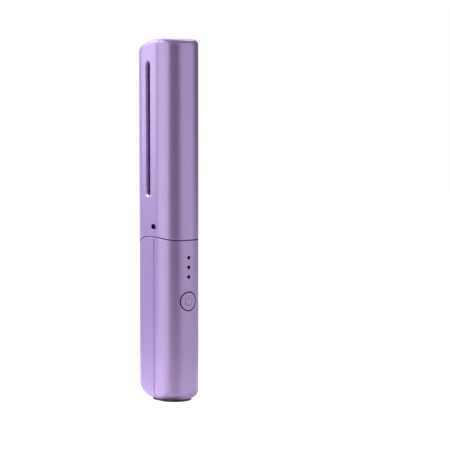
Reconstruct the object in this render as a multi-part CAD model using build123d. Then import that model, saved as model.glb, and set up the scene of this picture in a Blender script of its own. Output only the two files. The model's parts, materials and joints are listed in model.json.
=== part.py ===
from build123d import *
import math
import os

# Cordless hair straightener comb, standing on its foot. Millimetres, +Z up.
# The button end faces -Y, the teeth point to +Y, and the two flats face -X and +X.

# Outline of the body, seen from above
width = 27.2
depth = 38.0
height = 205.0
end_radius = width / 2
end_centre = (depth - width) / 2
reach = depth

# Handle shells
wall = 2.0
seam_y = -4.2
seam_gap = 0.1
seam_groove = 0.32
lip_inset = 1.05
lip_length = 1.2
lip_root = 1.0
lip_clearance = 0.1

# Top edge of the handle, a low wave that both flats share
crest_height = 93.5
crest_front = seam_y
crest_back = 1.5
rim_front_dip = 1.6
rim_back_dip = 6.0
wave_ease = 0.4
rim_round = 0.4

# Underside, level under the button end and rising under the other end
foot_proud = 1.2
foot_inset = 4.0
foot_round = 0.5
spigot_inset = 5.8
spigot_height = 2.4
spigot_clearance = 0.15
bend_room = 2.0
bend_y = end_centre - bend_room
bend_radius = 12.0
foot_margin = 0.8
foot_back = bend_y - foot_margin
spigot_margin = 2.6
spigot_back = bend_y - spigot_margin
base_slope = math.tan(math.radians(20.0))
base_round = 5.0
corner_step = wall + 0.45 * (base_round - wall)

# Cap
cap_gap = 0.3
collar_fit = 0.1
collar_clearance = 0.3
collar_inset = wall + collar_fit
cap_wall = collar_inset - collar_clearance
cap_crown = 49.0
cap_crown_y = -7.2
cap_round = 3.0
slot_width = 4.0
slot_y = 1.4
slot_rise = 22.6
slot_low = crest_height + slot_rise
slot_drop = 12.4
slot_high = height - slot_drop
slot_round = 0.5
snap_length = 4.4
snap_width = 2.9
snap_y = -4.0
snap_rise = 6.0
snap_z = crest_height + snap_rise

# Collar that the cap slides over
collar_rise = 6.2
collar_crest = crest_height + collar_rise
collar_front_dip = 2.0
collar_back_dip = 4.7
collar_round = 0.8
skirt_drop = 10.5
skirt_low = crest_height - skirt_drop
skirt_wall = 1.6
ceiling_drop = 3.7
collar_ceiling = collar_crest - ceiling_drop
pocket_radius = 1.4
pocket_depth = 0.8
rib_proud = 0.2
rib_width = 2.2
rib_root = 1.0
snap_rib_width = 1.0
snap_rib_root = 0.5

# Comb plate
head_room = 4.6
comb_top = height - head_room
comb_crown = 37.0
comb_crown_y = -4.5
spine_gap = 0.8
spine_radius = end_radius - cap_wall - spine_gap
spine_half = 5.3
crown_across = 8.5
crown_margin = 1.2
crown_half = spine_half + crown_margin
taper_start_y = -6.0
tip_half = 2.95
tip_gap = 2.0
tip_y = depth / 2 - cap_wall - tip_gap
comb_round = 1.1
gap_count = 15
last_tooth_rise = 11.0
last_tooth_low = collar_crest + last_tooth_rise
top_gap_drop = 10.2
top_gap_z = comb_top - top_gap_drop
bottom_gap_rise = 5.8
bottom_gap_z = last_tooth_low + bottom_gap_rise
gap_pitch = (top_gap_z - bottom_gap_z) / (gap_count - 1)
tooth_at_root = 2.3
tooth_at_tip = 1.5
root_round = 0.6
heel_round = 0.8

# Neck between the comb and the collar
neck_half = 3.2
neck_y = 8.6
neck_rise = 6.2
neck_low = collar_crest + neck_rise
scoop_y = -3.0
scoop_rise = 2.0
scoop_low = collar_crest + scoop_rise
scoop_round = 4.0
scoop_blend = 1.2

# Spread of the shoulder, from the neck at 0 to the collar at 1, over its height
shoulder_spread = ((0.98, 0.0), (0.94, 0.22), (0.77, 0.43), (0.52, 0.55), (0.25, 0.67),
                   (0.07, 0.84), (0.0, 1.0))
shoulder_drop = 5.0
shoulder_low = collar_crest - shoulder_drop
shoulder_inset = 0.15

# Spine cover
cover_thickness = 6.4
cover_seam_y = cover_thickness - end_centre - spine_radius
cover_rise = 4.1
cover_low = collar_crest + cover_rise
cover_gap = 0.12

# Heater
channel_half = 3.95
channel_rise = 2.5
channel_low = last_tooth_low + channel_rise
channel_drop = 6.4
channel_high = comb_top - channel_drop
bar_half = 3.8
bar_setback = 4.8
bar_front_y = cover_seam_y + bar_setback
bar_thickness = 3.2
plate_half = 1.35
plate_clearance = 0.15
plate_root = 1.0
root_overlap = 0.5
root_y = bar_front_y - root_overlap
plate_front_y = 7.1
fin_setback = 2.7
fin_front_y = tip_y - fin_setback
fin_notch_half = 0.9
fin_tip_clearance = 0.08
electrode_thickness = 0.3
tail_half = 0.7
tail_length = 4.0
chip_half = 3.2
chip_thickness = 2.4
chip_gap = 2.6
chip_count = 3
chip_end_room = 1.8
sheet_thickness = 0.3
sheet_end_room = 0.5
duct_half = 2.2
duct_depth = 4.0
lead_radius = 0.6
lead_clearance = 0.2
bead_radius = 0.8
bead_length = 1.8
bead_lead_radius = 0.25
bead_lead_gap = 0.1

# Circuit board
board_setback = 6.4
board_front_y = board_setback - depth / 2
board_thickness = 1.2
board_half = 7.6
board_lift = 0.15
board_low = foot_proud + corner_step + board_lift
board_drop = 9.5
board_high = crest_height - board_drop
board_corner = 1.0
board_screw_x = 5.6
board_screw_low = 22.0
board_screw_drop = 27.5
board_screw_high = crest_height - board_screw_drop
board_screw_z = (board_screw_low, board_screw_high)
post_radius = 2.1
screw_radius = 1.0
screw_head_radius = 1.9
screw_head = 1.1
screw_length = 4.4
screw_end_room = 0.2
screw_fit = 0.05
screw_recess = 0.5
screw_slot_half = 0.2
screw_slot_length = 1.1
screw_hole_clearance = 0.15

# Button, switch and indicator lights
button_drop = 35.9
button_z = crest_height - button_drop
button_radius = 5.15
button_gap = 0.4
flange_gap = 0.15
button_skin = wall + flange_gap
button_flange = 1.1
flange_extra = 1.1
guide_wall = 1.2
button_travel = 0.6
travel_spare = 0.1
stem_radius = 1.6
plunger_radius = 1.4
plunger_proud = 0.7
plunger_clearance = 0.08
switch_side = 6.0
switch_height = 2.0
switch_corner = 0.4
switch_bore_depth = 1.4
light_pitch = 5.45
light_drop = 11.3
light_high = crest_height - light_drop
light_heights = (light_high - 2 * light_pitch, light_high - light_pitch, light_high)
light_radius = 1.05
light_clearance = 0.05
light_recess = 0.15
light_bar_width = 2.4
light_bar_thickness = 1.0
light_gap = 0.1
led_width = 1.6
led_length = 0.8
led_height = 0.7

# Charging socket
usb_width = 8.94
usb_height = 3.26
usb_wall = 0.3
usb_low = 0.9
usb_length = 7.3
usb_clearance = 0.15
tongue_width = 6.7
tongue_thickness = 0.7
tongue_length = 6.2

# Battery
cell_radius = 9.2
cell_low = 9.0
cell_drop = 19.3
cell_high = crest_height - cell_drop
cell_length = cell_high - cell_low
cell_gap = 4.4
cell_y = board_front_y + board_thickness + cell_gap + cell_radius
cell_rim = 0.8
nub_radius = 3.0
nub_height = 0.6
tab_half = 3.0
tab_thickness = 0.3
cradle_clearance = 0.2
cradle_thickness = 1.2
cradle_heights = (cell_low + 0.1 * cell_length, cell_low + 0.5 * cell_length,
                  cell_low + 0.9 * cell_length)
pad_half = 5.0
pad_length = 10.0
pad_low = cell_low + 0.5 * (cell_length - pad_length)

# Parts on the inner face of the board
controller_side = 4.0
controller_rise = 0.9
controller_z = 13.5
capacitor_width = 1.6
capacitor_length = 3.2
capacitor_rise = 1.0
capacitor_x = 4.6
driver_width = 5.0
driver_length = 6.0
driver_rise = 1.1
driver_x = 3.1
driver_drop = 4.6
driver_z = pad_low - driver_drop
regulator_width = 4.0
regulator_length = 10.0
regulator_rise = 1.5
regulator_lift = 6.4
regulator_z = pad_low + pad_length + regulator_lift
coil_radius = 2.5
coil_rise = 2.8
coil_z = 21.0

# Screws that hold the comb in the rear shell
comb_screw_x = 6.5
comb_screw_drop = 14.0
comb_screw_z = crest_height - comb_screw_drop
web_front_y = 6.5
web_thickness = 1.6
web_drop = 17.2
web_low = crest_height - web_drop
web_root = 0.5
notch_side = 1.0


def oval(inset, z):
    """Face of the body outline, drawn in by inset, at height z."""
    slot = SlotCenterToCenter(2 * end_centre, 2 * (end_radius - inset))
    return Pos(0, 0, z) * Rot(0, 0, 90) * slot


def column(inset, low, high):
    """Upright solid on the body outline drawn in by inset."""
    return extrude(oval(inset, low), amount=high - low)


def pill(half_width, front, back, z):
    """Face with round ends between two depths, at height z."""
    slot = SlotOverall(back - front, 2 * half_width)
    return Pos(0, (front + back) / 2, z) * Rot(0, 0, 90) * slot


def across(outline, half_width):
    """Solid swept sideways from a closed outline of (depth, height) points."""
    return extrude(Plane.YZ * make_face(outline), amount=half_width, both=True)


def block(x0, x1, y0, y1, z0, z1):
    """Box between two corners."""
    box = Box(x1 - x0, y1 - y0, z1 - z0)
    return Pos((x0 + x1) / 2, (y0 + y1) / 2, (z0 + z1) / 2) * box


def rod(radius, x, y0, y1, z):
    """Round bar along the depth, from y0 to y1."""
    bar = Cylinder(radius, y1 - y0)
    return Pos(x, (y0 + y1) / 2, z) * Rot(90, 0, 0) * bar


def slab(front, back):
    """Everything between two depths."""
    return block(-reach, reach, front, back, -reach, height + reach)


def wall_y(inset, x):
    """Depth of the front wall, drawn in by inset, at a sideways place x."""
    return -end_centre - math.sqrt((end_radius - inset) ** 2 - x ** 2)


def wave(crest, front_dip, back_dip):
    """Wavy height line from front to back, level at its crest and at both ends."""
    front = -depth / 2
    back = depth / 2
    front_ease = wave_ease * (crest_front - front)
    back_ease = wave_ease * (back - crest_back)
    low_front = crest - front_dip
    low_back = crest - back_dip
    rise = Bezier((front, low_front), (front + front_ease, low_front),
                  (crest_front - front_ease, crest), (crest_front, crest))
    fall = Bezier((crest_back, crest), (crest_back + back_ease, crest),
                  (back - back_ease, low_back), (back, low_back))
    return [Line((-reach, low_front), (front, low_front)), rise,
            Line((crest_front, crest), (crest_back, crest)), fall,
            Line((back, low_back), (reach, low_back))]


def under_wave(crest, front_dip, back_dip):
    """Space below a wavy height line."""
    floor = Polyline((reach, crest - back_dip), (reach, -reach), (-reach, -reach),
                     (-reach, crest - front_dip))
    return across(wave(crest, front_dip, back_dip) + [floor], reach)


def under_crown(apex, apex_y, radius):
    """Space below an arched top whose highest line lies at apex_y."""
    cylinder = Pos(0, apex_y, apex - radius) * Rot(0, 90, 0) * Cylinder(radius, 2 * reach)
    return cylinder + block(-reach, reach, -2 * reach, 2 * reach, -reach, apex - radius)


def above_base(lift):
    """Space above the underside, which is level in front and turns up behind."""
    low = foot_proud + lift
    high = low + (reach - bend_y) * base_slope
    line = FilletPolyline((-reach, low), (bend_y, low), (reach, high), radius=bend_radius)
    sky = Polyline((reach, high), (reach, height + reach), (-reach, height + reach),
                   (-reach, low))
    return across([line, sky], reach)


def handle_form(inset, rounding):
    """Solid handle, drawn in by inset, as high as it could reach."""
    body = column(inset, -reach, crest_height + reach) & above_base(inset)
    limit = foot_proud + inset + (depth / 2 - bend_y) * base_slope + wall
    ring = [e for e in body.edges() if e.bounding_box().max.Z < limit]
    ring = [e for e in ring if e.bounding_box().size.Y > wall / 2]
    return fillet(ring, rounding)


def handle_hollow():
    """Room inside the handle, stepped at its lower corners to follow the rounding outside."""
    high = crest_height + reach
    room = column(wall, -reach, high) & above_base(corner_step)
    room += column(corner_step, -reach, high) & above_base(wall)
    window = column(spigot_inset - spigot_clearance, -reach, foot_proud + wall + corner_step)
    return room + (window & slab(-reach, spigot_back + spigot_clearance))


def handle_shells():
    """Front and rear halves of the handle, parted on one upright plane."""
    rim = under_wave(crest_height, rim_front_dip, rim_back_dip)
    outer = handle_form(0, base_round) & rim
    rim_floor = crest_height - rim_back_dip - wall
    top = [e for e in outer.edges() if e.bounding_box().min.Z > rim_floor]
    top = [e for e in top if e.bounding_box().size.Y > wall / 2]
    outer = fillet(top, rim_round)
    hollow = handle_hollow()
    lip = (handle_form(lip_inset, base_round - lip_inset) & rim) - hollow
    lip_room = handle_form(lip_inset - lip_clearance, base_round - lip_inset + lip_clearance)
    groove = outer - handle_form(seam_groove, base_round - seam_groove)
    groove &= slab(seam_y - seam_groove / 2, seam_y + seam_groove / 2)
    shell = outer - hollow
    front = shell & slab(-reach, seam_y - seam_gap / 2)
    front += lip & slab(seam_y - lip_root, seam_y + lip_length)
    rear = shell & slab(seam_y + seam_gap / 2, reach)
    rear -= lip_room & slab(seam_y, seam_y + lip_length + lip_clearance)
    return front - groove, rear - groove


def front_shell(shell):
    """Button side of the handle, with its guide ring, light holes and board posts."""
    inside = column(wall / 2, 0, crest_height)
    guide_inner = button_radius + flange_extra + button_gap
    guide_back = board_front_y - switch_height - cradle_clearance
    guide = rod(guide_inner + guide_wall, 0, -reach, guide_back, button_z)
    shell += guide & inside & slab(-reach, wall_y(wall, guide_inner) + button_flange)
    shell -= rod(guide_inner, 0, -reach, 0, button_z) & column(wall, 0, height)
    shell -= rod(button_radius + button_gap, 0, -reach, 0, button_z)
    for z in light_heights:
        shell -= rod(light_radius + light_clearance, 0, -reach, 0, z)
    screw_end = board_front_y + board_thickness - screw_length
    for x in (-board_screw_x, board_screw_x):
        for z in board_screw_z:
            shell += rod(post_radius, x, -reach, board_front_y, z) & inside
            shell -= rod(screw_radius, x, screw_end - screw_end_room, 0, z)
    return shell


def rear_shell(shell):
    """Back half of the handle, with the battery cradle and the comb screw posts."""
    inside = column(wall / 2, 0, crest_height)
    cell = Pos(0, cell_y, height / 2) * Cylinder(cell_radius + cradle_clearance, 2 * height)
    for z in cradle_heights:
        rib = column(wall / 2, z - cradle_thickness / 2, z + cradle_thickness / 2)
        shell += (rib & slab(cell_y, reach)) - cell
    screw_end = web_front_y + screw_length
    for x in (-comb_screw_x, comb_screw_x):
        shell += rod(post_radius, x, web_front_y + web_thickness, reach, comb_screw_z) & inside
        shell -= rod(screw_radius, x, 0, screw_end + screw_end_room, comb_screw_z)
    return shell


def base_plate():
    """Dark foot under the level part of the underside, which frames the charging socket."""
    plate = column(foot_inset, 0, foot_proud) & slab(-reach, foot_back)
    lower = [e for e in plate.edges() if e.bounding_box().max.Z < foot_proud / 2]
    plate = fillet(lower, foot_round)
    spigot = column(spigot_inset, foot_proud / 2, foot_proud + spigot_height)
    plate += spigot & slab(-reach, spigot_back)
    return plate - usb_room(usb_clearance)


def usb_y():
    """Depth of the charging socket's axis."""
    return board_front_y + board_thickness + usb_height / 2


def usb_outline(grow, z):
    """Face of the socket's mouth, grown all round."""
    slot = SlotOverall(usb_width + 2 * grow, usb_height + 2 * grow)
    return Pos(0, usb_y(), z) * slot


def usb_room(grow):
    """Space that the socket takes through the foot."""
    return extrude(usb_outline(grow, -reach), amount=reach + usb_low + usb_length)


def usb_socket():
    """Bent metal shell of the charging socket, closed at its inner end."""
    shell = extrude(usb_outline(0, usb_low), amount=usb_length)
    mouth = extrude(usb_outline(-usb_wall, usb_low), amount=usb_length - 2 * usb_wall)
    return shell - mouth


def usb_tongue():
    """Thin contact board in the middle of the socket."""
    top = usb_low + usb_length - 2 * usb_wall
    half = tongue_thickness / 2
    tongue = block(-tongue_width / 2, tongue_width / 2, usb_y() - half, usb_y() + half,
                   top - tongue_length, top)
    heel = block(-tongue_width / 2, tongue_width / 2, usb_y() - 2 * half, usb_y() + 2 * half,
                 top - tongue_length / 4, top)
    return tongue + heel


def comb_plan():
    """Upright solid with the comb's thickness, thick at the spine and thin at the tips."""
    side_y = -end_centre - math.sqrt(spine_radius ** 2 - spine_half ** 2)
    back = ThreePointArc((-spine_half, side_y), (0, -end_centre - spine_radius),
                         (spine_half, side_y))
    sides = Polyline((spine_half, side_y), (spine_half, taper_start_y), (tip_half, tip_y),
                     (-tip_half, tip_y), (-spine_half, taper_start_y), (-spine_half, side_y))
    return extrude(make_face([back, sides]), amount=height)


def comb_outline():
    """Side view of the comb plate and its neck, drawn as (depth, height)."""
    shape = Polyline((-reach, collar_ceiling), (neck_y - neck_half, collar_ceiling),
                     (neck_y - neck_half, last_tooth_low), (tip_y, last_tooth_low),
                     (tip_y, height), (-reach, height), close=True)
    face = make_face(shape)
    heel = face.vertices().sort_by_distance((tip_y, last_tooth_low, 0))[0]
    return fillet(heel, heel_round)


def under_head():
    """Space below the comb's head, which arches from spine to tips and from side to side."""
    side = comb_crown - crown_across + math.sqrt(crown_across ** 2 - crown_half ** 2)
    arc = ThreePointArc((-crown_half, side), (0, comb_crown), (crown_half, side))
    foot = Polyline((crown_half, side), (crown_half, 0), (-crown_half, 0), (-crown_half, side))
    wheel = revolve(Plane.XZ * make_face([arc, foot]), Axis.X)
    axle = comb_top - comb_crown
    wheel = Pos(0, comb_crown_y, axle) * wheel
    return wheel + block(-reach, reach, -2 * reach, 2 * reach, -reach, axle)


def comb_blank():
    """Comb plate before its teeth are cut: arched head, plate, column and neck."""
    blank = comb_plan() & extrude(Plane.YZ * comb_outline(), amount=reach, both=True)
    blank &= under_head()
    head_low = top_gap_z + gap_pitch / 4
    crown = [e for e in blank.edges() if e.bounding_box().min.Z > head_low]
    upright = blank.edges().filter_by(Axis.Z)
    spine = [e for e in upright if e.center().Y < cover_seam_y]
    tips = [e for e in upright if e.center().Y > fin_front_y]
    return fillet(crown + spine + tips, min(comb_round, 0.4 * tip_half))


def gap_heights():
    """Middle heights of the gaps between the teeth, from the top down."""
    return [top_gap_z - gap_pitch * i for i in range(gap_count)]


def wedge(y0, half0, y1, half1, z, half_width):
    """Sideways bar whose height grows from half0 at y0 to half1 at y1."""
    outline = Polyline((y0, z - half0), (y1, z - half1), (y1, z + half1), (y0, z + half0),
                       close=True)
    return across([outline], half_width)


def gap_half(y):
    """Half height of a gap between two teeth at depth y."""
    root = (gap_pitch - tooth_at_root) / 2
    tip = (gap_pitch - tooth_at_tip) / 2
    return root + (tip - root) * (y - root_y) / (tip_y - root_y)


def tooth_gap(z):
    """One gap between two teeth, with its root corners rounded."""
    far = tip_y + 2
    bar = wedge(root_y, gap_half(root_y), far, gap_half(far), z, end_radius)
    roots = [e for e in bar.edges().filter_by(Axis.X) if e.center().Y < root_y + 0.1]
    return fillet(roots, root_round)


def scoops():
    """Hollows under the last tooth that leave a slimmer neck on each side."""
    room = block(neck_half, reach, scoop_y, reach, scoop_low, last_tooth_low)
    corner = [e for e in room.edges().filter_by(Axis.X)
              if e.center().Y < scoop_y + wall and e.center().Z > last_tooth_low - wall]
    room = fillet(corner, scoop_round)
    inner = [e for e in room.edges() if e.bounding_box().max.X < neck_half + wall
             and e.center().Z > scoop_low + wall / 2 and e.center().Y < reach - wall]
    room = fillet(inner, scoop_blend)
    return room + mirror(room, about=Plane.YZ)


def pill_solid(half_width, front, back, low, high):
    """Upright solid with round ends between two depths."""
    return extrude(pill(half_width, front, back, low), amount=high - low)


def neck_form():
    """Rounded neck below the last tooth, spreading a little where it meets the tooth."""
    neck = pill_solid(neck_half, cover_seam_y, neck_y, collar_ceiling, last_tooth_low)
    grown = neck_half + scoop_blend
    head = pill_solid(grown, cover_seam_y, neck_y + scoop_blend, last_tooth_low - scoop_blend,
                      last_tooth_low)
    centre = neck_y - neck_half
    ring = Pos(0, centre, last_tooth_low - scoop_blend) * Torus(grown, scoop_blend)
    sides = Rot(90, 0, 0) * Cylinder(scoop_blend, 4 * reach)
    sides = Pos(grown, 0, last_tooth_low - scoop_blend) * sides
    sides &= slab(-reach, centre)
    head -= ring & slab(centre, reach)
    head -= sides + mirror(sides, about=Plane.YZ)
    return neck + (head & comb_plan() & slab(scoop_y + scoop_round, reach))


def shoulder():
    """Shoulder that spreads from the neck to the collar in one smooth curve."""
    wide = end_radius - collar_inset - shoulder_inset
    far = depth / 2 - collar_inset - shoulder_inset
    near = -end_centre - spine_radius
    sections = []
    for spread, rise in shoulder_spread:
        half = neck_half + spread * (wide - neck_half)
        back = neck_y + spread * (far - neck_y)
        z = shoulder_low + rise * (neck_low - shoulder_low)
        sections.append(pill(half, near, back, z))
    return loft(sections)


def collar():
    """Wavy-topped ring that plugs into the handle and carries the cap."""
    body = column(collar_inset, skirt_low, height)
    body &= under_wave(collar_crest, collar_front_dip, collar_back_dip)
    top = [e for e in body.edges() if e.bounding_box().min.Z > skirt_low + 1
           and e.bounding_box().size.Y > 1]
    return fillet(top, collar_round)


def collar_details(body):
    """Snap pockets, their ribs and the locating rib on the collar."""
    face = end_radius - collar_inset
    rib_low = crest_height + lip_clearance
    half = snap_rib_width / 2
    for side in (-1, 1):
        pocket = Rot(0, 90, 0) * Cylinder(pocket_radius, 2 * pocket_depth)
        body -= Pos(side * face, snap_y, snap_z) * pocket
        inner = side * (face - snap_rib_root)
        outer = side * (face + rib_proud)
        body += block(min(inner, outer), max(inner, outer), snap_y - half, snap_y + half,
                      rib_low, snap_z - pocket_radius)
    back = depth / 2 - collar_inset
    low = crest_height - rim_back_dip + rim_round + lip_clearance
    high = collar_crest - collar_back_dip - collar_round
    return body + block(-rib_width / 2, rib_width / 2, back - rib_root, back + rib_proud, low, high)


def channel_room():
    """Groove in the comb that takes the heater, with slots for its fins and its leads."""
    bar = block(-channel_half, channel_half, -reach, bar_front_y + plate_clearance,
                channel_low, channel_high)
    plate = plate_half + plate_clearance
    slot = block(-plate, plate, bar_front_y - plate_root, fin_front_y + plate_clearance,
                 channel_low, channel_high - plate_root)
    duct_back = -end_centre - spine_radius + skirt_wall + plate_root
    duct = block(-duct_half, duct_half, duct_back, bar_back_y(),
                 collar_ceiling - duct_depth, channel_low + plate_root)
    return bar + slot + duct


def cover_split(gap):
    """Space on the cover's side of the seam between comb and spine cover."""
    return block(-reach, reach, -reach, cover_seam_y + gap, cover_low - gap, height)


def comb_body():
    """Comb, neck, shoulder and collar in one moulding, open at the spine for the heater."""
    plate = comb_blank() - scoops() + neck_form() + shoulder()
    body = collar() + (plate - cover_split(cover_gap))
    inner = collar_inset + skirt_wall
    body -= column(inner, 0, collar_ceiling - skirt_wall)
    web = column(inner - web_root, web_low, collar_ceiling)
    body += web & slab(web_front_y, web_front_y + web_thickness)
    for x in (-comb_screw_x, comb_screw_x):
        body -= rod(screw_radius + screw_hole_clearance, x, 0, depth / 2 - wall, comb_screw_z)
    side = board_half + notch_side
    notch = block(-side, side, -reach, board_front_y + board_thickness + notch_side,
                  0, board_high + notch_side)
    body -= notch & column(wall, 0, height)
    body = collar_details(body)
    for z in gap_heights():
        body -= tooth_gap(z)
    return body - channel_room()


def spine_cover():
    """Back strip that closes the heater channel from head to neck."""
    cover = comb_blank() & block(-reach, reach, -reach, cover_seam_y, cover_low, height)
    inside = block(-channel_half, channel_half, stack_back_y(), 0, channel_low, channel_high)
    duct = block(-duct_half, duct_half, stack_back_y(), 0, 0, channel_low + plate_root)
    return cover - inside - duct


def bar_back_y():
    """Depth of the heating comb's back face."""
    return bar_front_y - bar_thickness


def stack_back_y():
    """Depth where the heater stack meets the spine cover."""
    return bar_back_y() - chip_thickness - 2 * electrode_thickness - sheet_thickness


def heating_comb():
    """Black heating comb: a bar at the spine, a thin plate and a fin in every tooth."""
    low = channel_low + plate_clearance
    high = channel_high - plate_clearance
    bar = block(-bar_half, bar_half, bar_back_y(), bar_front_y, low, high)
    plate = block(-plate_half, plate_half, bar_front_y - plate_root, fin_front_y,
                  low, high - plate_root)
    half = gap_half(fin_front_y) - fin_tip_clearance
    for z in gap_heights():
        plate -= wedge(plate_front_y, fin_notch_half, fin_front_y + wall, half, z, end_radius)
    return bar + plate


def chip_length():
    """Length of one heater chip, so that the row fills the channel."""
    room = channel_high - channel_low - 2 * chip_end_room
    return (room - (chip_count - 1) * chip_gap) / chip_count


def chip_lows():
    """Lower ends of the heater chips."""
    start = channel_low + chip_end_room
    return [start + i * (chip_length() + chip_gap) for i in range(chip_count)]


def heater_chips():
    """Ceramic heater chips in a row behind the heating comb."""
    front = bar_back_y() - electrode_thickness
    back = front - chip_thickness
    return Compound([block(-chip_half, chip_half, back, front, low, low + chip_length())
                     for low in chip_lows()])


def electrodes():
    """Two brass strips, one on each face of the chips, with a tail for each lead."""
    low = channel_low + chip_end_room
    high = channel_high - chip_end_room
    rear_face = bar_back_y() - electrode_thickness - chip_thickness
    strips = []
    for front, side in ((bar_back_y(), -1), (rear_face, 1)):
        back = front - electrode_thickness
        strip = block(-chip_half, chip_half, back, front, low, high)
        tail = block(-tail_half, tail_half, back, front, channel_low - tail_length, low)
        strips.append(strip + Pos(side * lead_x(), 0, 0) * tail)
    return Compound(strips)


def lead_x():
    """Sideways place of each heater lead."""
    return duct_half - lead_radius - lead_clearance


def insulation_sheet():
    """Thin sheet between the rear electrode and the spine cover."""
    back = stack_back_y()
    return block(-chip_half, chip_half, back, back + sheet_thickness,
                 channel_low + sheet_end_room, channel_high - sheet_end_room)


def wire(points, radius):
    """Round wire through a few points, mitred at its corners."""
    path = Polyline(*points)
    start = Plane(origin=path @ 0, z_dir=path % 0)
    return sweep(start * Circle(radius), path=path, transition=Transition.RIGHT)


def heater_leads():
    """Two insulated leads from the circuit board up to the electrode tails."""
    board_back = board_front_y + board_thickness
    top = channel_low - lead_radius
    turn_z = comb_screw_z + post_radius / 2
    front_lead_y = bar_back_y() - electrode_thickness - lead_radius
    rear_lead_y = bar_back_y() - electrode_thickness - chip_thickness + lead_radius
    wires = []
    for side, y in ((-1, front_lead_y), (1, rear_lead_y)):
        x = side * lead_x()
        wires.append(wire([(x, board_back, turn_z), (x, y, turn_z), (x, y, top)], lead_radius))
    return Compound(wires)


def thermistor():
    """Glass bead between two heater chips, with its pair of leads down to the board."""
    bead_z = chip_lows()[1] - chip_gap / 2
    bead_y = bar_back_y() - electrode_thickness - chip_thickness / 2
    board_back = board_front_y + board_thickness
    side_x = channel_half - bead_lead_radius - bead_lead_gap
    turn_z = comb_screw_z + 2 * lead_radius + post_radius
    inner_x = bead_lead_radius + bead_lead_gap
    solid = Pos(0, bead_y, bead_z) * Rot(0, 90, 0) * Cylinder(bead_radius, bead_length)
    for side in (-1, 1):
        route = [(side * inner_x, bead_y, bead_z), (side * side_x, bead_y, bead_z),
                 (side * side_x, bead_y, channel_low + 2 * lead_radius),
                 (side * inner_x, bead_y, channel_low + bead_lead_radius),
                 (side * inner_x, bead_y, turn_z), (side * inner_x, board_back, turn_z)]
        solid += wire(route, bead_lead_radius)
    return solid


def battery_cell():
    """Cylindrical lithium cell with its raised positive end."""
    body = Pos(0, cell_y, cell_low + cell_length / 2) * Cylinder(cell_radius, cell_length)
    body = chamfer(body.edges().filter_by(GeomType.CIRCLE), cell_rim)
    return body + Pos(0, cell_y, cell_high) * Cylinder(nub_radius, 2 * nub_height)


def battery_tabs():
    """Nickel strips from both ends of the cell to the circuit board."""
    board_back = board_front_y + board_thickness
    far = cell_y + nub_radius
    top = cell_high + nub_height
    lower = block(-tab_half, tab_half, board_back, far, cell_low - tab_thickness, cell_low)
    upper = block(-tab_half, tab_half, board_back, far, top, top + tab_thickness)
    return Compound([lower, upper])


def battery_pad():
    """Foam pad that holds the cell off the circuit board."""
    board_back = board_front_y + board_thickness
    pad = block(-pad_half, pad_half, board_back, cell_y, pad_low, pad_low + pad_length)
    return pad - Pos(0, cell_y, pad_low) * Cylinder(cell_radius, 4 * pad_length)


def main_board():
    """Circuit board that carries the switch, the lights and the charging socket."""
    board = block(-board_half, board_half, board_front_y, board_front_y + board_thickness,
                  board_low, board_high)
    board = fillet(board.edges().filter_by(Axis.Y), board_corner)
    for x in (-board_screw_x, board_screw_x):
        for z in board_screw_z:
            board -= rod(screw_radius + screw_hole_clearance, x, -reach, reach, z)
    return board


def chip(x, z, across_x, up_z, rise):
    """One flat part on the inner face of the board."""
    back = board_front_y + board_thickness
    return block(x - across_x / 2, x + across_x / 2, back, back + rise,
                 z - up_z / 2, z + up_z / 2)


def board_parts():
    """Chips, coil and capacitors on the inner face of the board."""
    back = board_front_y + board_thickness
    solids = [rod(coil_radius, 0, back, back + coil_rise, coil_z)]
    solids.append(chip(0, controller_z, controller_side, controller_side, controller_rise))
    solids.append(chip(0, regulator_z, regulator_width, regulator_length, regulator_rise))
    for side in (-1, 1):
        solids.append(chip(side * driver_x, driver_z, driver_width, driver_length, driver_rise))
        for z in (controller_z, regulator_z):
            solids.append(chip(side * capacitor_x, z, capacitor_width, capacitor_length,
                               capacitor_rise))
    return Compound(solids)


def screw(x, y, z):
    """Screw along the depth, with its head's back face at y and a cross slot."""
    head = rod(screw_head_radius, x, y, y + screw_head, z)
    floor = y + screw_head - screw_recess
    top = y + 2 * screw_head
    tall = screw_slot_length
    thin = screw_slot_half
    recess = block(x - tall, x + tall, floor, top, z - thin, z + thin)
    recess += block(x - thin, x + thin, floor, top, z - tall, z + tall)
    shank = rod(screw_radius - screw_fit, x, y + 2 * screw_end_room - screw_length,
                y + screw_end_room, z)
    return head + shank - recess


def board_screws():
    """Screws that hold the board to the front shell's posts."""
    back = board_front_y + board_thickness
    return Compound([screw(x, back, z) for x in (-board_screw_x, board_screw_x)
                     for z in board_screw_z])


def comb_screws():
    """Screws that hold the comb's web to the rear shell's posts."""
    turn = Pos(0, 2 * web_front_y, 0) * Rot(0, 0, 180)
    return Compound([turn * screw(x, web_front_y, comb_screw_z)
                     for x in (-comb_screw_x, comb_screw_x)])


def switch_body():
    """Housing of the push switch, with the bore that its plunger slides in."""
    half = switch_side / 2
    front = board_front_y - switch_height
    body = block(-half, half, front, board_front_y, button_z - half, button_z + half)
    body = fillet(body.edges().filter_by(Axis.Y), switch_corner)
    bore = rod(plunger_radius + plunger_clearance, 0, front - plunger_proud,
               front + switch_bore_depth, button_z)
    return body - bore


def switch_plunger():
    """Plunger of the push switch, which the power button pushes."""
    front = board_front_y - switch_height
    inner = front + switch_bore_depth - button_travel - travel_spare
    return rod(plunger_radius, 0, front - plunger_proud, inner, button_z)


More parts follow.
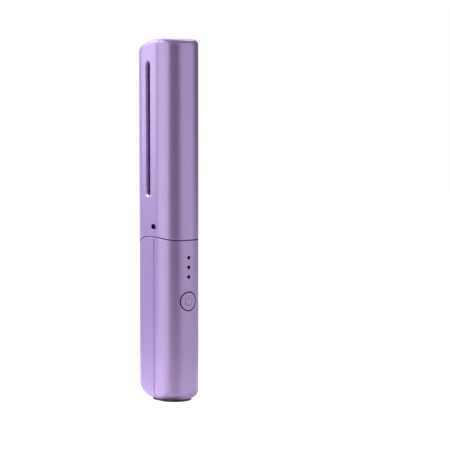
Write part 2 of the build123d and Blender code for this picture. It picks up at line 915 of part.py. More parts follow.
def power_button():
    """Round button, flush with the curved end, with a flange and a stem behind it."""
    def shell_band(outer, inner):
        return (Pos(0, -end_centre, button_z) * (Cylinder(outer, 4 * button_radius)
                                                 - Cylinder(inner, 8 * button_radius)))
    inner = end_radius - button_skin
    face = rod(button_radius, 0, -reach, -end_centre, button_z) & shell_band(end_radius, inner)
    flange = rod(button_radius + flange_extra, 0, -reach, -end_centre, button_z)
    flange &= shell_band(inner, inner - button_flange)
    stem_front = -end_centre - inner + button_flange / 2
    stem = rod(stem_radius, 0, stem_front, board_front_y - switch_height - plunger_proud, button_z)
    return face + flange + stem


def leds():
    """Three small indicator lights on the front of the board."""
    return Compound([block(-led_width / 2, led_width / 2, board_front_y - led_height, board_front_y,
                           z - led_length / 2, z + led_length / 2) for z in light_heights])


def light_pipe():
    """Dark clear moulding with one pin for each indicator light."""
    tip = -end_centre - end_radius + light_recess
    bar_y = wall_y(wall, light_bar_width / 2) + light_gap
    margin = light_bar_width / 2
    bar = block(-margin, margin, bar_y, bar_y + light_bar_thickness,
                light_heights[0] - margin, light_heights[-1] + margin)
    for z in light_heights:
        bar += rod(light_radius, 0, tip, board_front_y - led_height - light_gap, z)
    return bar


def side_slot(length, slot_wide, y, z, upright):
    """Slot with round ends through both flats of the cap."""
    outline = SlotOverall(length, slot_wide)
    turn = 90 if upright else 0
    return extrude(Plane.YZ * Pos(y, z) * Rot(0, 0, turn) * outline, amount=reach, both=True)


def cap():
    """Cover that slides over the comb, with a vent slot and a snap hole on each flat."""
    low = crest_height - reach
    rim = under_wave(crest_height + cap_gap, rim_front_dip, rim_back_dip)
    outer = column(0, low, height + wall) & under_crown(height, cap_crown_y, cap_crown)
    top = [e for e in outer.edges() if e.bounding_box().min.Z > low + wall]
    outer = fillet([e for e in top if e.bounding_box().size.Y > wall / 2], cap_round)
    inner = column(cap_wall, low - wall, height)
    inner &= under_crown(height - cap_wall, cap_crown_y, cap_crown - cap_wall)
    roof = [e for e in inner.edges() if e.bounding_box().min.Z > low]
    inner = chamfer([e for e in roof if e.bounding_box().size.Y > wall / 2], cap_round - cap_wall)
    shell = outer - rim
    lip = [e for e in shell.edges() if e.bounding_box().max.Z < crest_height + wall]
    shell = fillet([e for e in lip if e.bounding_box().size.Y > wall / 2], rim_round)
    shell -= side_slot(slot_high - slot_low, slot_width, slot_y, (slot_low + slot_high) / 2, True)
    shell -= side_slot(snap_length, snap_width, snap_y, snap_z, False)
    flats = [e for e in shell.edges() if abs(abs(e.center().X) - end_radius) < rim_round / 4]
    mouth = [e for e in flats if slot_low - wall < e.bounding_box().min.Z
             and e.bounding_box().max.Z < slot_high + wall and abs(e.center().Y - slot_y) < slot_width]
    shell = fillet(mouth, slot_round)
    return shell - inner


parts = {}
front, rear = handle_shells()
parts["front_shell"] = front_shell(front)
parts["rear_shell"] = rear_shell(rear)
parts["base_plate"] = base_plate()
parts["usb_socket"] = usb_socket()
parts["usb_tongue"] = usb_tongue()
parts["comb_body"] = comb_body()
parts["spine_cover"] = spine_cover()
parts["heating_comb"] = heating_comb()
parts["heater_chips"] = heater_chips()
parts["electrodes"] = electrodes()
parts["insulation_sheet"] = insulation_sheet()
parts["thermistor"] = thermistor()
parts["heater_leads"] = heater_leads()
parts["battery_cell"] = battery_cell()
parts["battery_tabs"] = battery_tabs()
parts["battery_pad"] = battery_pad()
parts["main_board"] = main_board()
parts["board_parts"] = board_parts()
parts["board_screws"] = board_screws()
parts["comb_screws"] = comb_screws()
parts["switch_body"] = switch_body()
parts["switch_plunger"] = switch_plunger()
parts["power_button"] = power_button()
parts["leds"] = leds()
parts["light_pipe"] = light_pipe()
parts["cap"] = cap()

os.makedirs("parts", exist_ok=True)
for name, solid in parts.items():
    print(name, len(solid.solids()), round(solid.volume, 1), solid.is_valid)
    export_step(solid, f"parts/{name}.step")
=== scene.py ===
import json
import math

import bmesh
import bpy
from mathutils import Matrix, Vector


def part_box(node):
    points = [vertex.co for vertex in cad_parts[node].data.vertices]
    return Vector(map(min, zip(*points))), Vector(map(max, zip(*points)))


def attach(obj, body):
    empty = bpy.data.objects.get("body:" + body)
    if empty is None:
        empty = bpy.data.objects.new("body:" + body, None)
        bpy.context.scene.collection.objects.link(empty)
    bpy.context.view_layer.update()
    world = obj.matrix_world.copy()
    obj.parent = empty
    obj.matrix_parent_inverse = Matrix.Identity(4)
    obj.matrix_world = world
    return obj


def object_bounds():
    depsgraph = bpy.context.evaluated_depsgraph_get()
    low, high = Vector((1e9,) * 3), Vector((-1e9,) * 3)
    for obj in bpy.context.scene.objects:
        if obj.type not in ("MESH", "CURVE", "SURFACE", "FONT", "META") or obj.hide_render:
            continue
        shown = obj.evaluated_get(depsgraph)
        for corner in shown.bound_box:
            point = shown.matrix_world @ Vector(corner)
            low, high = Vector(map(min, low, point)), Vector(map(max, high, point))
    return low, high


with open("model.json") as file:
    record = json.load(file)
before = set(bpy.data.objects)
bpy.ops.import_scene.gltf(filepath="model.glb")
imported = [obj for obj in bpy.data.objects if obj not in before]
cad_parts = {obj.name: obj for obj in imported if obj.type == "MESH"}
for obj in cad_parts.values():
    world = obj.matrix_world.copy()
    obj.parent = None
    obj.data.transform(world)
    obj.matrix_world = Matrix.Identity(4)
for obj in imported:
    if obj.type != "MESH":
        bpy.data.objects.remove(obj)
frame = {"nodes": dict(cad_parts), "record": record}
cad_low, cad_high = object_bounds()

MM = 0.001


def linear(red, green, blue):
    """Shader colour from screen values of 0 to 255."""
    def channel(value):
        value /= 255
        return value / 12.92 if value <= 0.04045 else ((value + 0.055) / 1.055) ** 2.4
    return channel(red), channel(green), channel(blue), 1.0


def grey(value):
    """Shader colour with the same value in each channel."""
    return value, value, value, 1


# The body's outline, in metres, from the frame's own boxes
BODY_LOW, BODY_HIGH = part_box("cap")
END_RADIUS = (BODY_HIGH.x - BODY_LOW.x) / 2
END_CENTRE = BODY_HIGH.y - END_RADIUS
HEIGHT = cad_high.z
BUTTON_LOW, BUTTON_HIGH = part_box("power_button")
BUTTON_Z = (BUTTON_LOW.z + BUTTON_HIGH.z) / 2

# Where the closed unit stands in the photograph, in pixels of its 450 by 450 frame
FRAME_PX = 450
AXIS_PX = 168.8
TOP_PX = 35.4
BASE_PX = 399.9
EYE_PX = 115.4

# The camera's bearing round the object, its distance and its sensor
CAMERA_BEARING = math.radians(-36)
CAMERA_DISTANCE = 1.0
SENSOR_MM = 36.0
CLIP_NEAR = 0.05
CLIP_FAR = 50

# The outline that the camera measures lies this much nearer than the axis
NEARNESS = 1.013

# Softboxes: bearing from the camera in degrees, distance, height, width, height of the box itself,
# radiance and tint
SOFTBOXES = {
    "left_softbox": (-56, 0.9, 0.3, 1.1, 1.2, 1.06, (1.0, 0.98, 0.98)),
    "right_softbox": (66, 0.9, 0.3, 1.5, 1.2, 0.65, (1.0, 0.98, 1.0)),
    "back_left_softbox": (-112, 0.9, 0.5, 0.6, 0.9, 1.75, (0.93, 0.96, 1.0)),
    "backdrop_softbox": (-150, 1.1, 0.3, 0.5, 0.9, 0.7, (1.0, 0.98, 1.0)),
    "high_back_softbox": (-160, 0.9, 0.9, 1.4, 0.5, 1.8, (1.0, 0.98, 1.0)),
    "high_left_softbox": (-80, 0.5, 0.8, 0.25, 0.25, 4.5, (1.0, 0.98, 1.0)),
}
OVERHEAD_PLACE = (-0.065, 0.035, 0.75)
OVERHEAD_SIZE = 0.1
OVERHEAD_SPREAD = math.radians(37)
OVERHEAD_WATTS = 0.3

# The room as the surfaces mirror it; to the eye it is white
ROOM_TINT = (0.93, 0.74, 1.0, 1)
ROOM_STRENGTH = 0.18

# Floor, a hair below the foot so that the two don't meet in one plane
FLOOR_RADIUS = 3.0
FLOOR_DROP = 0.05 * MM
FLOOR_BASE = 0.5
FLOOR_ROUGHNESS = 0.9
FLOOR_SEEN = 0.95

# Glow of the floor towards each bearing from the camera, in degrees, as the surfaces mirror it
FLOOR_GLOW = (
    (-180, (0.10, 0.10, 0.10)),
    (-150, (0.30, 0.30, 0.30)),
    (-125, (0.31, 0.28, 0.50)),
    (-95, (0.31, 0.28, 0.50)),
    (-80, (0.67, 0.67, 0.67)),
    (-35, (0.67, 0.67, 0.67)),
    (-18, (0.05, 0.05, 0.05)),
    (18, (0.05, 0.05, 0.05)),
    (35, (0.46, 0.46, 0.46)),
    (110, (0.46, 0.46, 0.46)),
    (150, (0.30, 0.30, 0.30)),
    (180, (0.10, 0.10, 0.10)),
)

# Pearl paint: its two flake tones, the shade along a seam, the painted shade in gaps, and the
# finish in the vents
FLAKE_DARK = linear(170, 148, 194)
FLAKE_LIGHT = linear(184, 162, 208)
FLAKE_SCALE = 5200
HAZE_SCALE = 60
SEAM_SHADE = linear(96, 76, 120)
GAP_PAINTED_SHADE = linear(50, 32, 72)
VENT_LAVENDER = linear(205, 184, 236)
PAINT_METALLIC = 0.75
GAP_METALLIC = 0.9
GAP_ROUGHNESS = 0.6
COAT_WEIGHT = 0.25
COAT_ROUGHNESS = 0.28

# Between these heights the shells' outer skin is upright; the painted shade of gaps and the vents'
# finish begin this deep below it
SKIN_LOW = 9 * MM
SKIN_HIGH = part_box("comb_body")[1].z - 7 * MM
SKIN_DEPTH = 0.12 * MM

# Above this height a hole in the cap is a vent and not the snap hole
VENT_LOW = 110 * MM

# Painted shade in a ring along the gap round the button's face: its middle, its half width, and
# its drop
GAP_RADIUS = 5.24 * MM
GAP_HALF = 0.33 * MM
GAP_DROP = 0.1 * MM

# Upright seams with painted shade beside them, between the shells and round the spine cover:
# each one's y and half its width
SHELL_SEAM = (-4.2 * MM, 0.24 * MM)
COVER_SEAM = (-10.0 * MM, 0.2 * MM)

# Painted highlight in light grey along the front edge of the heating comb's plate
PLATE_HIGHLIGHT_Y = 7.1 * MM
PLATE_HIGHLIGHT_HALF = 0.12 * MM

# Plain finishes: scale of the broad unevenness, how far it darkens, and the grain's relief
BROAD_SCALE = 120
BROAD_SHARE = 0.35
FINE_RELIEF = 0.00002

# Vent slot of the cap: its lower end's middle and radius, and the lip scooped out below it
SLOT_Y = 1.4 * MM
SLOT_RADIUS = 2.0 * MM
SLOT_END_Z = 116.1 * MM + SLOT_RADIUS
LIP_SIZE = 0.8 * MM
LIP_SINK = 0.02 * MM
LIP_TAPER = 0.08
LIP_FULLNESS = 0.6
LIP_STEPS = 24

# Power mark on the button: ring, the opening at its top in degrees, its bar and its line
MARK_RADIUS = 2.4 * MM
MARK_OPENING = 70
MARK_BAR_LOW = 0.7 * MM
MARK_BAR_HIGH = 3.1 * MM
MARK_LINE = 0.4 * MM
MARK_PROUD = 0.02 * MM
MARK_STEPS = 40
MERGE_DISTANCE = 0.001 * MM


# Camera at the photograph's viewing angle

def add_camera():
    metres_per_px = NEARNESS * HEIGHT / (BASE_PX - TOP_PX)
    focal_px = CAMERA_DISTANCE / metres_per_px
    eye_z = (BASE_PX - EYE_PX) * metres_per_px
    data = bpy.data.cameras.new("camera")
    data.sensor_width = SENSOR_MM
    data.lens = SENSOR_MM * focal_px / FRAME_PX
    data.clip_start = CLIP_NEAR
    data.clip_end = CLIP_FAR
    camera = bpy.data.objects.new("camera", data)
    bpy.context.scene.collection.objects.link(camera)
    away = Vector((math.sin(CAMERA_BEARING), -math.cos(CAMERA_BEARING), 0))
    camera.location = away * CAMERA_DISTANCE + Vector((0, 0, eye_z))
    turn = math.atan((FRAME_PX / 2 - AXIS_PX) / focal_px)
    tilt = math.atan((FRAME_PX / 2 - EYE_PX) / focal_px)
    camera.rotation_euler = (math.pi / 2 - tilt, 0, CAMERA_BEARING - turn)
    bpy.context.scene.camera = camera


# Light: a broad softbox each side with a dark gap towards the camera, and smaller ones behind

def add_lamp(name, shape, place):
    """Area light that the camera doesn't see, and its data."""
    data = bpy.data.lights.new(name, "AREA")
    data.shape = shape
    lamp = bpy.data.objects.new(name, data)
    bpy.context.scene.collection.objects.link(lamp)
    lamp.location = place
    lamp.visible_camera = False
    return lamp, data


def add_softbox(name, bearing, distance, height, width, tall, radiance, tint):
    """Area light at a bearing from the camera's own, aimed at the object's middle."""
    angle = CAMERA_BEARING + math.radians(bearing)
    place = (distance * math.sin(angle), -distance * math.cos(angle), height)
    lamp, data = add_lamp(name, "RECTANGLE", place)
    data.size = width
    data.size_y = tall
    data.energy = radiance * math.pi * width * tall
    data.color = tint
    aim = Vector((0, 0, HEIGHT / 2)) - lamp.location
    lamp.rotation_euler = aim.to_track_quat("-Z", "Y").to_euler()


def add_overhead():
    """Gridded light above the object, only for the floor at its foot, more towards the flat."""
    lamp, data = add_lamp("overhead_softbox", "DISK", OVERHEAD_PLACE)
    data.size = OVERHEAD_SIZE
    data.spread = OVERHEAD_SPREAD
    data.energy = OVERHEAD_WATTS
    lamp.visible_glossy = False


def add_lights():
    for name, settings in SOFTBOXES.items():
        add_softbox(name, *settings)
    add_overhead()


def add_room():
    """White to the eye, and a dim lavender to the surfaces that mirror it."""
    world = bpy.data.worlds.new("room")
    bpy.context.scene.world = world
    world.use_nodes = True
    nodes, links = world.node_tree.nodes, world.node_tree.links
    shade = nodes["Background"]
    seen = nodes.new("ShaderNodeBackground")
    path = nodes.new("ShaderNodeLightPath")
    mix = nodes.new("ShaderNodeMixShader")
    shade.inputs["Color"].default_value = ROOM_TINT
    shade.inputs["Strength"].default_value = ROOM_STRENGTH
    seen.inputs["Color"].default_value = grey(1)
    seen.inputs["Strength"].default_value = 1.0
    links.new(path.outputs["Is Camera Ray"], mix.inputs["Fac"])
    links.new(shade.outputs["Background"], mix.inputs[1])
    links.new(seen.outputs["Background"], mix.inputs[2])
    links.new(mix.outputs["Shader"], nodes["World Output"].inputs["Surface"])


def add_floor():
    """Plain pale floor that the object stands on."""
    shape = bmesh.new()
    bmesh.ops.create_circle(shape, cap_ends=True, segments=96, radius=FLOOR_RADIUS,
                            matrix=Matrix.Translation((0, 0, -FLOOR_DROP)))
    floor = new_piece("floor", shape, floor_material())


def floor_material():
    """Near-white to the eye; surfaces that mirror it see a painted glow, bright towards the
    softboxes and dark towards the camera.
    """
    material, shader, nodes, links = new_material("pale_floor")
    shader.inputs["Base Color"].default_value = grey(FLOOR_BASE)
    shader.inputs["Roughness"].default_value = FLOOR_ROUGHNESS
    shader.inputs["Specular IOR Level"].default_value = 0.0
    shader.inputs["Emission Strength"].default_value = 1.0
    place = nodes.new("ShaderNodeTexCoord")
    turn = nodes.new("ShaderNodeMapping")
    turn.inputs["Rotation"].default_value = (0, 0, math.pi / 2 - CAMERA_BEARING)
    bearing = nodes.new("ShaderNodeTexGradient")
    bearing.gradient_type = "RADIAL"
    sheen = nodes.new("ShaderNodeValToRGB")
    stops = sheen.color_ramp.elements
    while len(stops) < len(FLOOR_GLOW):
        stops.new(1.0)
    for stop, (degrees, glow) in zip(stops, FLOOR_GLOW):
        stop.position = 0.5 + degrees / 360
        stop.color = glow + (1,)
    path = nodes.new("ShaderNodeLightPath")
    links.new(place.outputs["Object"], turn.inputs["Vector"])
    links.new(turn.outputs["Vector"], bearing.inputs["Vector"])
    links.new(bearing.outputs["Fac"], sheen.inputs["Fac"])
    glow = blend_colours(nodes, links, path.outputs["Is Camera Ray"], sheen.outputs["Color"],
                         grey(FLOOR_SEEN))
    links.new(glow, shader.inputs["Emission Color"])
    return material


# Shader nodes

def new_material(name):
    """Empty material with its principled shader, node list and link list."""
    material = bpy.data.materials.new(name)
    material.use_nodes = True
    tree = material.node_tree
    return material, tree.nodes["Principled BSDF"], tree.nodes, tree.links


def object_noise(nodes, links, scale, detail=2.0, roughness=0.5, stretch=(1, 1, 1)):
    """Noise on Object coordinates, drawn out where an axis of stretch is under 1."""
    place = nodes.new("ShaderNodeTexCoord")
    draw = nodes.new("ShaderNodeMapping")
    draw.inputs["Scale"].default_value = stretch
    noise = nodes.new("ShaderNodeTexNoise")
    noise.inputs["Scale"].default_value = scale
    noise.inputs["Detail"].default_value = detail
    noise.inputs["Roughness"].default_value = roughness
    links.new(place.outputs["Object"], draw.inputs["Vector"])
    links.new(draw.outputs["Vector"], noise.inputs["Vector"])
    return noise.outputs["Fac"]


def ramp(nodes, links, source, low, high, low_at=0.0, high_at=1.0):
    """Colour between two colours, by an output socket."""
    node = nodes.new("ShaderNodeValToRGB")
    node.color_ramp.elements[0].position = low_at
    node.color_ramp.elements[0].color = low
    node.color_ramp.elements[1].position = high_at
    node.color_ramp.elements[1].color = high
    links.new(source, node.inputs["Fac"])
    return node.outputs["Color"]


def add_bump(nodes, links, source, shader, strength, distance):
    """Relief on the shader's normal from an output socket."""
    bump = nodes.new("ShaderNodeBump")
    bump.inputs["Strength"].default_value = strength
    bump.inputs["Distance"].default_value = distance
    links.new(source, bump.inputs["Height"])
    links.new(bump.outputs["Normal"], shader.inputs["Normal"])


def feed(links, values, inputs):
    """Gives each input its value, which is an output socket or a constant."""
    for value, entry in zip(values, inputs):
        if isinstance(value, bpy.types.NodeSocket):
            links.new(value, entry)
        else:
            entry.default_value = value


def maths(nodes, links, operation, first, second=0.0):
    """Math node on numbers or output sockets."""
    node = nodes.new("ShaderNodeMath")
    node.operation = operation
    feed(links, (first, second), node.inputs)
    return node.outputs["Value"]


def blend_colours(nodes, links, share, first, second):
    """Mix by a share of 0 to 1 of two colours or output sockets."""
    node = nodes.new("ShaderNodeMix")
    node.data_type = "RGBA"
    links.new(share, node.inputs["Factor"])
    feed(links, (first, second), (node.inputs[6], node.inputs[7]))
    return node.outputs[2]


def place_axes(nodes, links):
    """Output sockets of the object's own x, y and z."""
    place = nodes.new("ShaderNodeTexCoord")
    split = nodes.new("ShaderNodeSeparateXYZ")
    links.new(place.outputs["Object"], split.inputs["Vector"])
    return split.outputs["X"], split.outputs["Y"], split.outputs["Z"]


def length_of(nodes, links, across, along):
    """Length of the vector that two output sockets make."""
    join = nodes.new("ShaderNodeCombineXYZ")
    links.new(across, join.inputs["X"])
    links.new(along, join.inputs["Y"])
    reach = nodes.new("ShaderNodeVectorMath")
    reach.operation = "LENGTH"
    links.new(join.outputs["Vector"], reach.inputs[0])
    return reach.outputs["Value"]


def within(nodes, links, value, middle, half):
    """Share that is 1 where a value lies within half of a middle, and 0 elsewhere."""
    off = maths(nodes, links, "SUBTRACT", value, middle)
    off = maths(nodes, links, "ABSOLUTE", off)
    return maths(nodes, links, "LESS_THAN", off, half)


def near_y(nodes, links, middle, half):
    """Share that is 1 where the object's y lies within half of a middle."""
    return within(nodes, links, place_axes(nodes, links)[1], middle, half)


def below_skin(nodes, links):
    """Share that is 1 on walls inside the body's outline, where the paint gives way to painted
    shade in gaps and holes, and to the vents' finish; and the z.
    """
    x, y, z = place_axes(nodes, links)
    beyond = maths(nodes, links, "ABSOLUTE", y)
    beyond = maths(nodes, links, "SUBTRACT", beyond, END_CENTRE)
    beyond = maths(nodes, links, "MAXIMUM", beyond)
    reach = length_of(nodes, links, x, beyond)
    inside = maths(nodes, links, "LESS_THAN", reach, END_RADIUS - SKIN_DEPTH)
    above = maths(nodes, links, "GREATER_THAN", z, SKIN_LOW)
    under = maths(nodes, links, "LESS_THAN", z, SKIN_HIGH)
    upright = maths(nodes, links, "MULTIPLY", above, under)
    walls = maths(nodes, links, "MULTIPLY", inside, upright)
    return maths(nodes, links, "MAXIMUM", walls, button_gap_shade(nodes, links, x, y, z)), z


def button_gap_shade(nodes, links, x, y, z):
    """Share that is 1 on the gap round the button and the edges beside it, where shade is painted.
    """
    height = maths(nodes, links, "SUBTRACT", z, BUTTON_Z - GAP_DROP)
    reach = length_of(nodes, links, x, height)
    near = within(nodes, links, reach, GAP_RADIUS, GAP_HALF)
    front = maths(nodes, links, "LESS_THAN", y, 0.0)
    return maths(nodes, links, "MULTIPLY", near, front)


# Materials

def pearl_paint(name, seam=None, inner_colour=None, inner_metallic=0.0, vent_colour=None):
    """Satin lavender pearl paint: fine metal flake under a soft clear coat.

    A seam, given by its y and half its width, gets painted shade along it. A shell gets painted
    shade in a dark colour on its walls inside the outline, in its holes and gaps, and another
    finish in its vents.
    """
    material, shader, nodes, links = new_material(name)
    flake = object_noise(nodes, links, FLAKE_SCALE, 2.0, 0.6)
    colour = ramp(nodes, links, flake, FLAKE_DARK, FLAKE_LIGHT, 0.35, 0.65)
    haze = object_noise(nodes, links, HAZE_SCALE, 3.0, 0.55)
    rough = ramp(nodes, links, haze, grey(0.27), grey(0.33))
    shader.inputs["Metallic"].default_value = PAINT_METALLIC
    if seam:
        # Painted shade along the seam
        colour = blend_colours(nodes, links, near_y(nodes, links, *seam), colour, SEAM_SHADE)
    # Painted shade in dark purple on the walls inside the outline, in holes and gaps; the vents
    # get their own colour
    if inner_colour:
        shade_or_bare, height = below_skin(nodes, links)
        if vent_colour:
            vent = maths(nodes, links, "GREATER_THAN", height, VENT_LOW)
            inner_colour = blend_colours(nodes, links, vent, inner_colour, vent_colour)
        colour = blend_colours(nodes, links, shade_or_bare, colour, inner_colour)
        rough = blend_colours(nodes, links, shade_or_bare, rough, grey(GAP_ROUGHNESS))
        change = maths(nodes, links, "MULTIPLY", shade_or_bare, inner_metallic - PAINT_METALLIC)
        metallic = maths(nodes, links, "ADD", change, PAINT_METALLIC)
        links.new(metallic, shader.inputs["Metallic"])
    links.new(colour, shader.inputs["Base Color"])
    links.new(rough, shader.inputs["Roughness"])
    shader.inputs["Coat Weight"].default_value = COAT_WEIGHT
    shader.inputs["Coat Roughness"].default_value = COAT_ROUGHNESS
    add_bump(nodes, links, flake, shader, 0.06, FINE_RELIEF)
    return material


def plain_material(name, colour, roughness, metallic=0.0, grain=900, relief=FINE_RELIEF,
                   spread=0.12, gloss=0.5, stretch=(1, 1, 1)):
    """Moulded, rolled or drawn finish: fine grain over a broad, slight unevenness of tone."""
    material, shader, nodes, links = new_material(name)
    shader.inputs["Specular IOR Level"].default_value = gloss
    shader.inputs["Metallic"].default_value = metallic
    noise = object_noise(nodes, links, grain, 3.0, 0.6, stretch)
    dark = tuple(c * (1 - spread) for c in colour[:3]) + (1,)
    light = tuple(min(1, c * (1 + spread)) for c in colour[:3]) + (1,)
    tone = ramp(nodes, links, noise, dark, light, 0.3, 0.7)
    broad = object_noise(nodes, links, BROAD_SCALE)
    patch = ramp(nodes, links, broad, grey(0), grey(BROAD_SHARE), 0.4, 0.75)
    links.new(blend_colours(nodes, links, patch, tone, dark), shader.inputs["Base Color"])
    smooth = max(0.05, roughness - 0.08)
    rough = ramp(nodes, links, noise, grey(smooth), grey(roughness), 0.3, 0.7)
    links.new(rough, shader.inputs["Roughness"])
    add_bump(nodes, links, noise, shader, 0.3, relief)
    return material


def solder_mask():
    """Green board lacquer over copper tracks, which show as slightly raised, lighter lines."""
    material, shader, nodes, links = new_material("solder_mask")
    place = nodes.new("ShaderNodeTexCoord")
    lay = nodes.new("ShaderNodeMapping")
    lay.inputs["Rotation"].default_value = (math.pi / 2, 0, 0)
    tracks = nodes.new("ShaderNodeTexBrick")
    tracks.inputs["Scale"].default_value = 260
    tracks.inputs["Mortar Size"].default_value = 0.035
    tracks.inputs["Mortar Smooth"].default_value = 0.2
    tracks.inputs["Color1"].default_value = linear(16, 84, 54)
    tracks.inputs["Color2"].default_value = linear(20, 92, 60)
    tracks.inputs["Mortar"].default_value = linear(48, 132, 84)
    links.new(place.outputs["Object"], lay.inputs["Vector"])
    links.new(lay.outputs["Vector"], tracks.inputs["Vector"])
    links.new(tracks.outputs["Color"], shader.inputs["Base Color"])
    grain = object_noise(nodes, links, 900, 3.0, 0.6)
    rough = ramp(nodes, links, grain, grey(0.26), grey(0.4))
    links.new(rough, shader.inputs["Roughness"])
    add_bump(nodes, links, tracks.outputs["Fac"], shader, 0.4, 0.00003)
    return material


def heater_coating():
    """Black ceramic coating, with a painted highlight in light grey along the plate's front edge.
    """
    material, shader, nodes, links = new_material("black_ceramic_coating")
    grain = object_noise(nodes, links, 3500, 3.0, 0.6)
    black = ramp(nodes, links, grain, linear(14, 14, 15), linear(24, 24, 26), 0.3, 0.7)
    # Painted highlight along the plate's front edge
    edge = near_y(nodes, links, PLATE_HIGHLIGHT_Y, PLATE_HIGHLIGHT_HALF)
    colour = blend_colours(nodes, links, edge, black, linear(196, 190, 206))
    links.new(colour, shader.inputs["Base Color"])
    rough = ramp(nodes, links, grain, grey(0.48), grey(0.6))
    links.new(rough, shader.inputs["Roughness"])
    shader.inputs["Specular IOR Level"].default_value = 0.2
    add_bump(nodes, links, grain, shader, 0.3, FINE_RELIEF)
    return material


# Shell paints with painted shade in their gaps and holes, and along the seam between the shells
HANDLE_PAINT = pearl_paint("pearl_lavender_handle", SHELL_SEAM, GAP_PAINTED_SHADE, GAP_METALLIC)
SHELL_PAINTS = {
    "front_shell": HANDLE_PAINT,
    "rear_shell": HANDLE_PAINT,
    "power_button": HANDLE_PAINT,
    "cap": pearl_paint("pearl_lavender_cap", inner_colour=GAP_PAINTED_SHADE, vent_colour=VENT_LAVENDER),
}
SLOT_MATERIALS = {
    "pearl_lavender": pearl_paint("pearl_lavender_comb", COVER_SEAM),
    "dark_grey_plastic": plain_material("foot_plastic", linear(70, 62, 78), 0.5),
    "steel": plain_material("rolled_steel", linear(176, 176, 180), 0.3, metallic=1.0, grain=2500,
                            stretch=(1, 1, 0.1)),
    "black_plastic": plain_material("black_moulding", linear(24, 24, 27), 0.45),
    "black_coated_aluminium": heater_coating(),
    "ceramic_grey": plain_material("heater_ceramic", linear(120, 116, 110), 0.8, grain=1800,
                                   spread=0.3),
    "brass_strip": plain_material("brass_strip", linear(196, 160, 88), 0.35, metallic=1.0,
                                  grain=2000, stretch=(1, 1, 0.06)),
    "amber_film": plain_material("amber_film", linear(190, 110, 30), 0.25),
    "glass_bead": plain_material("glass_bead", linear(150, 80, 40), 0.15),
    "lead_jacket": plain_material("lead_jacket", linear(225, 224, 218), 0.55),
    "battery_sleeve": plain_material("battery_sleeve", linear(60, 130, 165), 0.3, grain=500,
                                     relief=0.00005),
    "nickel": plain_material("nickel_strip", linear(190, 188, 180), 0.28, metallic=1.0,
                             grain=2200, stretch=(0.08, 1, 1)),
    "foam": plain_material("foam", linear(45, 45, 47), 0.95, grain=1500, relief=0.0002),
    "board_green": solder_mask(),
    "led_lens": plain_material("led_lens", linear(235, 232, 215), 0.2),
    "smoked_lens": plain_material("smoked_lens", linear(34, 12, 54), 0.3, gloss=0.12),
}
# Near-white finish of the slots' lips: a painted highlight where light from above catches them
LIP_HIGHLIGHT = plain_material("lip_painted_highlight", linear(246, 240, 252), 0.45, metallic=0.3)
MARK_INK = plain_material("mark_ink", linear(118, 96, 142), 0.4)


def dress_nodes():
    """Gives every CAD node the material of its slot."""
    for entry in frame["record"]["subparts"]:
        node = frame["nodes"][entry["node"]]
        node.data.materials.clear()
        finish = SHELL_PAINTS.get(entry["node"], SLOT_MATERIALS[entry["material_slot"]])
        node.data.materials.append(finish)


# Pieces

def new_piece(name, shape, material):
    """Object at the origin with the shape of a bmesh, which it uses up."""
    mesh = bpy.data.meshes.new(name)
    shape.to_mesh(mesh)
    shape.free()
    mesh.materials.append(material)
    piece = bpy.data.objects.new(name, mesh)
    bpy.context.scene.collection.objects.link(piece)
    return piece


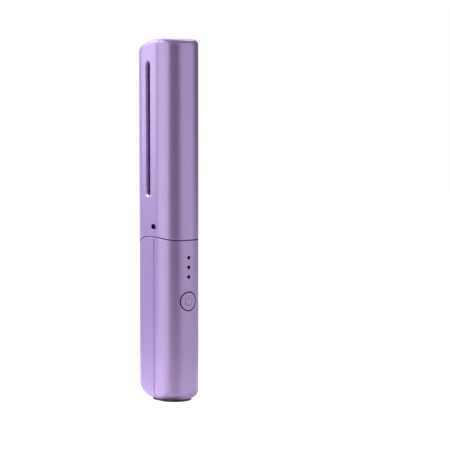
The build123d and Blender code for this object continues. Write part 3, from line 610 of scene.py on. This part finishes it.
def add_slot_lips():
    """Scooped lip at the lower end of each vent slot: a crescent that narrows up both sides, near
    white as a painted highlight.
    """
    face_x = -END_RADIUS + LIP_SINK
    shape = bmesh.new()
    corners = [shape.verts.new((x, SLOT_Y + r, SLOT_END_Z)) for x, r in (
        (face_x, SLOT_RADIUS),
        (face_x + LIP_SIZE, SLOT_RADIUS - LIP_SIZE),
        (face_x + LIP_SIZE, SLOT_RADIUS))]
    section = shape.faces.new(corners)
    bmesh.ops.spin(shape, geom=corners + list(section.edges) + [section], axis=(1, 0, 0),
                   steps=LIP_STEPS, cent=(0, SLOT_Y, SLOT_END_Z), angle=-math.pi)
    for vert in shape.verts:
        across, down = vert.co.y - SLOT_Y, SLOT_END_Z - vert.co.z
        reach = math.hypot(across, down)
        share = max(LIP_TAPER, down / reach) ** LIP_FULLNESS
        inner = SLOT_RADIUS - (SLOT_RADIUS - reach) * share
        vert.co = (face_x + (vert.co.x - face_x) * share, SLOT_Y + across / reach * inner,
                   SLOT_END_Z - down / reach * inner)
    bmesh.ops.mirror(shape, geom=shape.verts[:] + shape.edges[:] + shape.faces[:],
                     matrix=Matrix.Identity(4), merge_dist=0.0, axis="X")
    bmesh.ops.recalc_face_normals(shape, faces=shape.faces)
    lips = new_piece("slot_lips", shape, LIP_HIGHLIGHT)
    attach(lips, "cap")


def add_power_mark():
    """Power symbol on the button: an open ring and a bar, laid on the button's curve."""
    shape = bmesh.new()
    start = math.radians(90 + MARK_OPENING / 2)
    ends = [shape.verts.new((r * math.cos(start), 0, r * math.sin(start)))
            for r in (MARK_RADIUS - MARK_LINE / 2, MARK_RADIUS + MARK_LINE / 2)]
    edge = shape.edges.new(ends)
    bmesh.ops.spin(shape, geom=ends + [edge], axis=(0, -1, 0), cent=(0, 0, 0), steps=MARK_STEPS,
                   angle=math.radians(360 - MARK_OPENING))
    bar = bmesh.ops.create_grid(shape, x_segments=2, y_segments=8, size=0.5)["verts"]
    bmesh.ops.scale(shape, verts=bar, vec=(MARK_LINE, MARK_BAR_HIGH - MARK_BAR_LOW, 1))
    upright = Matrix.Rotation(math.pi / 2, 3, "X")
    bmesh.ops.rotate(shape, verts=bar, cent=(0, 0, 0), matrix=upright)
    bmesh.ops.translate(shape, verts=bar, vec=(0, 0, (MARK_BAR_HIGH + MARK_BAR_LOW) / 2))
    for vert in shape.verts:
        vert.co.y = -END_CENTRE - math.sqrt(END_RADIUS ** 2 - vert.co.x ** 2) - MARK_PROUD
        vert.co.z += BUTTON_Z
    bmesh.ops.remove_doubles(shape, verts=shape.verts, dist=MERGE_DISTANCE)
    bmesh.ops.recalc_face_normals(shape, faces=shape.faces)
    for face in shape.faces:
        if face.normal.y > 0:
            face.normal_flip()
    bmesh.ops.solidify(shape, geom=shape.faces, thickness=2 * MARK_PROUD)
    mark = new_piece("power_mark", shape, MARK_INK)
    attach(mark, "button")


add_camera()
add_lights()
add_room()
add_floor()
dress_nodes()
add_slot_lips()
add_power_mark()
bpy.context.scene.view_settings.view_transform = "Standard"
